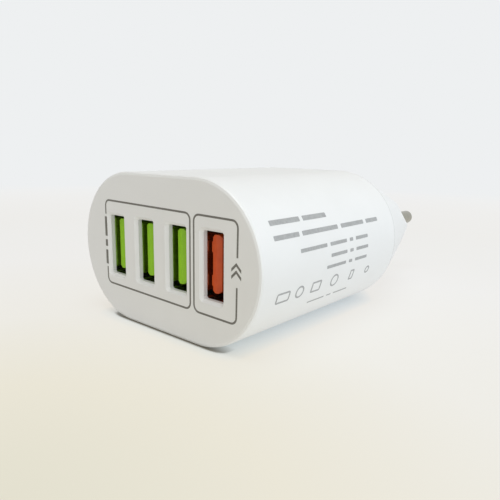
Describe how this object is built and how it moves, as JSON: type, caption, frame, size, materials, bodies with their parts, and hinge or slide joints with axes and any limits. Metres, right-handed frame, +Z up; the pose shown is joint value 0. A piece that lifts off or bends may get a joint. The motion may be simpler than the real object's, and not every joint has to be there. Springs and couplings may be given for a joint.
{
  "type": "usb charger",
  "caption": "Mains wall charger with an oval moulded housing, upright USB-A sockets in its front face and a tapered nose that carries a round-pin plug.",
  "frame": {"origin": "on the resting plane, under the middle of the whole bounding box, pins included", "axes": "+Z up, +Y from the socket face towards the pin tips, +X to the right seen from the socket face"},
  "size_m": [0.053, 0.0955, 0.032],
  "materials": {
    "housing": "satin",
    "pin_metal": "satin",
    "sleeve": "matte",
    "strip_metal": "satin",
    "socket_steel": "satin",
    "tongue_green": "satin",
    "tongue_orange": "satin",
    "contact_gold": "polished",
    "board": "satin",
    "ferrite": "matte",
    "bobbin": "satin",
    "tape": "satin",
    "copper": "gloss",
    "lead_metal": "satin",
    "can_dark": "gloss",
    "can_green": "gloss",
    "box_yellow": "satin",
    "disc_blue": "gloss",
    "moulding_black": "matte",
    "sink_aluminium": "satin"
  },
  "bodies": {
    "root": {"body_shell": "housing", "rear_cover": "housing", "plug_pin_left": "pin_metal", "plug_pin_right": "pin_metal", "pin_sleeve_left": "sleeve", "pin_sleeve_right": "sleeve", "mains_strip_left": "strip_metal", "mains_strip_right": "strip_metal", "usb_shell_1": "socket_steel", "usb_shell_2": "socket_steel", "usb_shell_3": "socket_steel", "usb_shell_4": "socket_steel", "usb_tongue_1": "tongue_green", "usb_tongue_2": "tongue_green", "usb_tongue_3": "tongue_green", "usb_tongue_4": "tongue_orange", "usb_contacts_1": "contact_gold", "usb_contacts_2": "contact_gold", "usb_contacts_3": "contact_gold", "usb_contacts_4": "contact_gold", "main_board": "board", "socket_board": "board", "transformer_core_left": "ferrite", "transformer_core_right": "ferrite", "choke_core": "ferrite", "transformer_bobbin": "bobbin", "transformer_winding": "tape", "choke_winding": "copper", "transformer_pins": "lead_metal", "bulk_capacitor_1": "can_dark", "bulk_capacitor_2": "can_dark", "output_capacitor_1": "can_green", "output_capacitor_2": "can_green", "suppression_capacitor": "box_yellow", "safety_capacitor": "disc_blue", "fuse": "moulding_black", "bridge_rectifier": "moulding_black", "controller": "moulding_black", "optocoupler": "moulding_black", "switching_transistor": "moulding_black", "output_rectifier": "moulding_black", "charge_controller_1": "moulding_black", "charge_controller_2": "moulding_black", "heat_sink": "sink_aluminium"}
  },
  "joints": []
}
